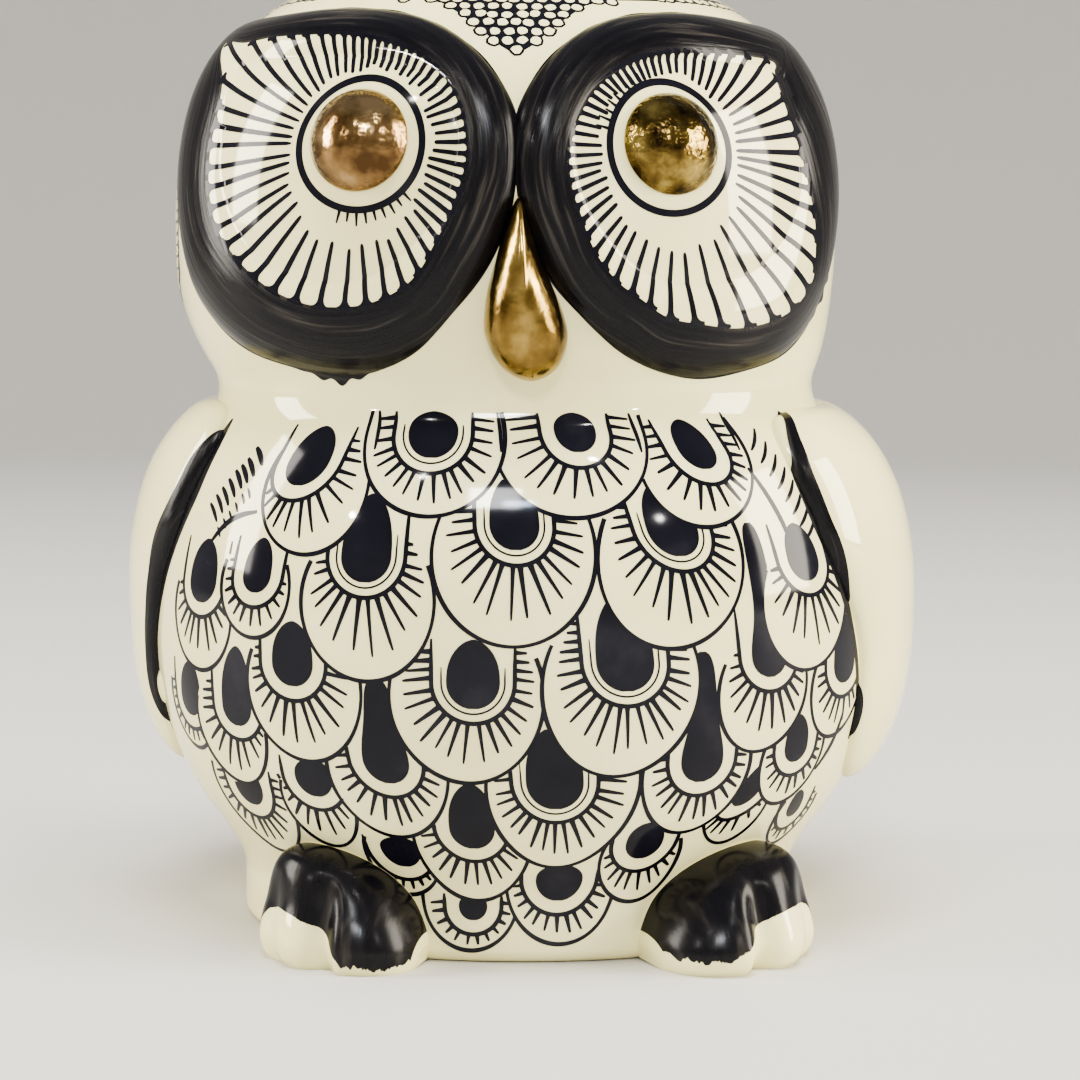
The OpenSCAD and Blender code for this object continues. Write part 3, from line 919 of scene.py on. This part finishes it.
def build_eye_paint(name, pad, edge, lash_from, lash_to, flick):
    inside, outside = Reach(pad, edge, 12), Reach(pad, EYE_OUTLINE, 24)
    brushed = Film(pad.surface)
    degrees = np.arange(480) * 0.75
    a = np.radians(degrees)
    rough = 0.004 * np.sin(5 * a + 1) + 0.003 * np.sin(13 * a)
    hang = 0.03 * np.exp(-((degrees - flick) / 7) ** 2) * (1 + 0.5 * np.sin(1.1 * degrees))
    inner, outer = inside.at(degrees), outside.at(degrees) * (1.004 + rough + hang)
    # rows from the band's inner edge to its outer one, closer together over the rim's steep outer side
    steep = 1 - (1 - np.linspace(0.04, 1, 34)) ** 1.5
    k = np.concatenate([np.linspace(0, 0.7, 16), 0.7 + 0.3 * steep])[:, None]
    r = inner + (outer - inner) * k
    brush = np.stack([(r - inner), 26 * np.cos(a) + 0 * r, 26 * np.sin(a) + 0 * r], -1)
    brushed.add(np.array([eye_places(pad, row, degrees) for row in r]), closed=True, brush=brush)
    brushed.finish(name + "_band", BRUSHED, "ink")

    fine = Film(pad.surface)
    d = 0.0
    while d < 356:
        low_side = math.exp(-((d - 278) / 46) ** 2)
        step = FAN_STEP + 2.6 * low_side
        edge_r = float(inside.at(np.array(d)))
        start = min(FAN_START + 4 * low_side + rng.uniform(-0.5, 0.6), edge_r - 2.6)
        lobe = 0.30 * edge_r * math.radians(step)
        slim = np.linspace(start, edge_r - lobe, 20)
        ways = np.concatenate([slim, np.linspace(edge_r - lobe, edge_r + 0.5, 14)[1:]])
        k = np.clip((ways - start) / (edge_r - start), 0, 1)
        into = np.clip((ways - edge_r + lobe) / lobe, 0, 1)
        mid = 0.5 + 0.42 * min(1, lobe) * k ** 0.8
        wide = (mid + (3.0 * lobe - mid) * (1 - np.sqrt(1 - into ** 2)) * 0.85) * rng.uniform(0.92, 1.1)
        wide[0] *= 0.55
        fine.stroke(eye_places(pad, ways, d + rng.uniform(-1.0, 1.0) * (1 - k)), wide, 5)
        d += step + rng.uniform(-0.5, 0.5)
    ring_stroke(fine, pad, 8.6, 9.6, 3)
    for i in range(9):
        d = lash_from + (lash_to - lash_from) * i / 8
        ways = np.linspace(9.4, 11 + rng.uniform(-0.3, 0.4), 7)
        fine.stroke(eye_places(pad, ways, d + 0 * ways), np.linspace(0.5, 0.22, 7))
    fine.finish(name + "_fan", PRINTED, "ink")


def build_wing_line(name, pad, line):
    film = Film(pad.surface)
    q = np.array(line, float)
    k = np.linspace(0, len(q) - 1, 160)
    path = np.stack([np.interp(k, np.arange(len(q)), q[:, c]) for c in range(3)], -1)
    for _ in range(40):
        path[1:-1] = (path[:-2] + 2 * path[1:-1] + path[2:]) / 4
    across = np.linspace(-0.5, 0.5, 61)[:, None]
    brush = np.stack([across * path[:, 2], 0.4 * np.arange(160) + 0 * across, 0 * across * path[:, 2]], -1)
    film.stroke(path[:, :2], path[:, 2], 61, brush, skin)
    film.finish(name, BRUSHED, "ink")


def wander(count, step):
    """A gentle random line, for brushed edges."""
    values = [0.0]
    for _ in range(count - 1):
        values.append(0.72 * values[-1] + rng.uniform(-step, step))
    return np.array(values)


def build_foot_paint(name, side, edge):
    """Black over the top of a foot down to an edge given by places across it, with their heights."""
    foot = Foot(side)
    film = Film(lambda u, a: foot.surface(side * u, a), lambda u, a: foot.facing(side * u, a))
    u = np.linspace(-0.97, 0.975, 150)
    swell = foot_fullness(u)
    places = np.array(edge, float)
    low = np.interp(u, places[:, 0], places[:, 1])
    for _ in range(3):
        low[1:-1] = (low[:-2] + low[1:-1] + low[2:]) / 3
    low += wander(150, 0.4) * np.interp(u, [-1, -0.5, -0.3, 1], [1.3, 0.9, 0.15, 0.12])
    start = np.degrees(np.arcsin(np.clip(np.maximum(low, 0.5) / (FOOT_HEIGHT * swell), 0, 0.97)))
    k = np.linspace(0, 1, 40)[:, None]
    a = start + (89.4 - start) * k
    uu = 0 * a + u
    film.add(np.stack([side * uu, a], -1), brush=np.stack([4 * uu, 0.3 * a, 0 * a], -1))
    film.finish(name, BRUSHED, "ink")


def net_edge(t):
    t = (np.asarray(t, float) + 180) % 360 - 180
    ahead = (t > NET_SIDES[0]) & (t < NET_SIDES[1])
    return np.where(ahead, np.interp(np.abs(t), *zip(*NET_FRONT)), np.interp(np.abs(t), *zip(*NET_BACK)))


def build_crown_net():
    net, cells = Film(skin, head_normals), Film(skin, head_normals)
    t = np.arange(240) * 1.5
    low = np.maximum(net_edge(t - 1.5), net_edge(t + 1.5)) + 0.3
    low = np.where((t > 45) & (t < 315), np.maximum(low, NET_CAP), low)
    low_a = np.arcsin(((low - HEAD_MID) / HEAD_REACH) ** (HEAD_ROUND / 2))
    k = np.linspace(0, 1, 60)[:, None]
    a = low_a + (math.radians(89.9) - low_a) * k
    z = HEAD_MID + HEAD_REACH * np.sin(a) ** (2 / HEAD_ROUND)
    net.add(np.stack([t + 0 * z, z], -1), closed=True, proud=0.03)
    t = np.linspace(NET_SIDES[1] + 0.6, NET_SIDES[0] + 360 - 0.6, 130)
    low = net_edge(t) + 0.3
    z = low + (NET_CAP + 0.2 - low) * np.linspace(0, 1, 44)[:, None]
    net.add(np.stack([t + 0 * z, z], -1), proud=0.03)
    levels = crown_levels(900)
    spine = skin(np.zeros(900), levels)
    climb = np.concatenate([[0], np.cumsum(np.linalg.norm(np.diff(spine, axis=0), axis=1))])
    around = np.linspace(-180, 180, 721)
    pole = climb[-1] + float(radius(0.0, levels[-1]))
    add_cell(net, cells, np.array([HEAD_OFFSET, 0, HEAD_MID + HEAD_REACH]), np.array([0, 0, 1.0]), False)
    ring = 0
    for s in np.arange(pole - 0.95 * CELL_STEP, 0, -CELL_STEP * 0.87):
        z = float(np.interp(s, climb, levels))
        loop = skin(around, np.full(721, z))
        travel = np.concatenate([[0], np.cumsum(np.linalg.norm(np.diff(loop, axis=0), axis=1))])
        count = max(4, round(travel[-1] / CELL_STEP))
        ring += 1
        for i in range(count):
            way = (i + 0.5 * (ring % 2)) / count * travel[-1] + rng.uniform(-0.2, 0.2)
            ct = float(np.interp(way, travel, around))
            cz = float(np.interp(s + rng.uniform(-0.18, 0.18), climb, levels))
            edge = float(max(net_edge(ct - 2.4), net_edge(ct + 2.4)))
            if cz > max(net_edge(ct - 1.2), net_edge(ct + 1.2)):
                place = np.array(ct), np.array(cz)
                add_cell(net, cells, skin(*place), head_normals(*place), cz < edge + 2.6)
    net.finish("crown_net", PRINTED, "ink")
    cells.finish("crown_cells", GLAZE, "glaze")


def add_cell(net, cells, p, n, border):
    """One cream cell of the net, with a black disc under it along the net's edge."""
    side = unit(np.cross([0.0, 0.02, 1.0], n))
    up = np.cross(n, side)
    a = np.arange(9) * 2 * np.pi / 9 + rng.uniform(0, 1)
    r = CELL_RADIUS * (1 + np.array([rng.uniform(-0.12, 0.12) for _ in a]))
    spokes = np.cos(a)[:, None] * side * 1.06 + np.sin(a)[:, None] * up * 0.94
    add_disc(cells, p + r[:, None] * spokes, n, 0.08)
    if border:
        add_disc(net, p + (r + CELL_LINE)[:, None] * spokes, n, 0.05)


def add_disc(film, edge, n, proud):
    """A small flat patch of colour from a loop of points."""
    count = len(edge)
    first = film.count
    film.points += [edge + proud * n, edge - INK_SINK * n]
    film.normals += [np.repeat(n[None], 2 * count, 0)]
    film.brush.append(np.zeros((2 * count, 3)))
    j = np.arange(count)
    k = (j + 1) % count
    film.polygons.append((first + j).tolist())
    film.polygons.append((first + count + j[::-1]).tolist())
    film.faces.append(np.stack([first + k, first + j, first + count + j, first + count + k], -1))
    film.count += 2 * count


build_feathers()
build_eye_paint("right_eye", RIGHT_EYE, RIGHT_BAND, 225, 285, 282)
build_eye_paint("left_eye", LEFT_EYE, LEFT_BAND, 110, 165, 330)
build_wing_line("right_wing_line", RIGHT_WING, RIGHT_WING_LINE)
build_wing_line("left_wing_line", LEFT_WING, LEFT_WING_LINE)
build_foot_paint("right_foot_paint", -1, RIGHT_FOOT_EDGE)
build_foot_paint("left_foot_paint", 1, LEFT_FOOT_EDGE)
build_crown_net()


# ---- Studio ----

def look_at(thing, target, roll=0.0):
    forward = (Vector(target) - thing.location).normalized()
    thing.matrix_world = (Matrix.Translation(thing.location)
                          @ forward.to_track_quat("-Z", "Y").to_matrix().to_4x4()
                          @ Matrix.Rotation(roll, 4, "Z"))


VIEW_DISTANCE = 0.430
VIEW_WIDTH = 0.1706          # what the view takes in, across the owl's middle
VIEW_PITCH = math.radians(6)
VIEW_YAW = math.radians(-2.5)
VIEW_ROLL = math.radians(0.6)
VIEW_HEIGHT = 0.0585
VIEW_ASIDE = 0.0032

camera_data = bpy.data.cameras.new("camera")
camera = bpy.data.objects.new("camera", camera_data)
bpy.context.scene.collection.objects.link(camera)
target = Vector((VIEW_ASIDE * math.cos(VIEW_YAW), VIEW_ASIDE * math.sin(VIEW_YAW), VIEW_HEIGHT))
back = Vector((math.sin(VIEW_YAW) * math.cos(VIEW_PITCH), -math.cos(VIEW_YAW) * math.cos(VIEW_PITCH),
               math.sin(VIEW_PITCH)))
camera.location = target + VIEW_DISTANCE * back
look_at(camera, target, VIEW_ROLL)
camera_data.sensor_width = 36
camera_data.lens = camera_data.sensor_width * VIEW_DISTANCE / VIEW_WIDTH
bpy.context.scene.camera = camera
bpy.context.scene.view_settings.look = "AgX - Medium High Contrast"


def area_light(name, place, aim, size, power, colour):
    data = bpy.data.lights.new(name, "AREA")
    data.shape = "RECTANGLE"
    data.size, data.size_y = size
    data.energy = power
    data.color = colour
    light = bpy.data.objects.new(name, data)
    light.location = place
    bpy.context.scene.collection.objects.link(light)
    look_at(light, aim)
    return light


AIM = (0, 0, 0.08)
overhead = area_light("overhead", (0.05, -0.15, 1.1), AIM, (0.7, 0.5), 16, (1.0, 0.98, 0.93))
overhead.visible_glossy = False
area_light("warm_right", (0.95, -0.25, 0.35), AIM, (0.4, 0.6), 14, (1.0, 0.93, 0.80))
area_light("soft_left", (-0.9, -0.05, 0.40), AIM, (0.25, 0.6), 9, (1.0, 0.95, 0.86))
area_light("front_fill", (-0.15, -1.6, 1.1), AIM, (0.35, 0.25), 11, (0.99, 0.98, 0.97))
area_light("blue_window", (0.0, -0.95, 0.62), AIM, (0.09, 0.035), 0.9, (0.70, 0.82, 1.0))
for i, place in enumerate([(-0.45, -0.9, 0.9), (0.3, -0.8, 1.0), (0.6, -0.9, 0.55), (-0.7, -0.7, 0.5)]):
    area_light(f"spark_{i}", place, AIM, (0.03, 0.03), 0.7, (1.0, 0.97, 0.90))

world = bpy.data.worlds.new("studio")
bpy.context.scene.world = world
world.use_nodes = True
world.node_tree.nodes["Background"].inputs["Color"].default_value = (0.80, 0.81, 0.84, 1)
world.node_tree.nodes["Background"].inputs["Strength"].default_value = 0.45

# A round floor that sweeps up into a wall on all sides
FLOOR_RADIUS, SWEEP_RADIUS, WALL_TOP, WALL_SIDES = 1.0, 1.0, 2.6, 96
sweep = [(FLOOR_RADIUS, 0.0)]
for i in range(1, 25):
    angle = math.radians(90 * i / 24)
    sweep.append((FLOOR_RADIUS + SWEEP_RADIUS * math.sin(angle), SWEEP_RADIUS * (1 - math.cos(angle))))
sweep.append((FLOOR_RADIUS + SWEEP_RADIUS, WALL_TOP))
turns = [2 * math.pi * j / WALL_SIDES for j in range(WALL_SIDES)]
floor_points = [(r * math.cos(a), r * math.sin(a), z) for r, z in sweep for a in turns]
floor_faces = [list(range(WALL_SIDES))]
for i in range(len(sweep) - 1):
    for j in range(WALL_SIDES):
        k = (j + 1) % WALL_SIDES
        low_row, high_row = i * WALL_SIDES, (i + 1) * WALL_SIDES
        floor_faces.append([low_row + k, low_row + j, high_row + j, high_row + k])
floor_mesh = bpy.data.meshes.new("studio_floor")
floor_mesh.from_pydata(floor_points, [], floor_faces)
floor_mesh.polygons.foreach_set("use_smooth", [len(f) == 4 for f in floor_faces])
studio_floor = bpy.data.objects.new("studio_floor", floor_mesh)
bpy.context.scene.collection.objects.link(studio_floor)
pale_floor = Finish("pale_floor")
pale_floor.set("Base Color", (0.60, 0.59, 0.57, 1))
pale_floor.set("Roughness", 0.6)
floor_mesh.materials.append(pale_floor.material)
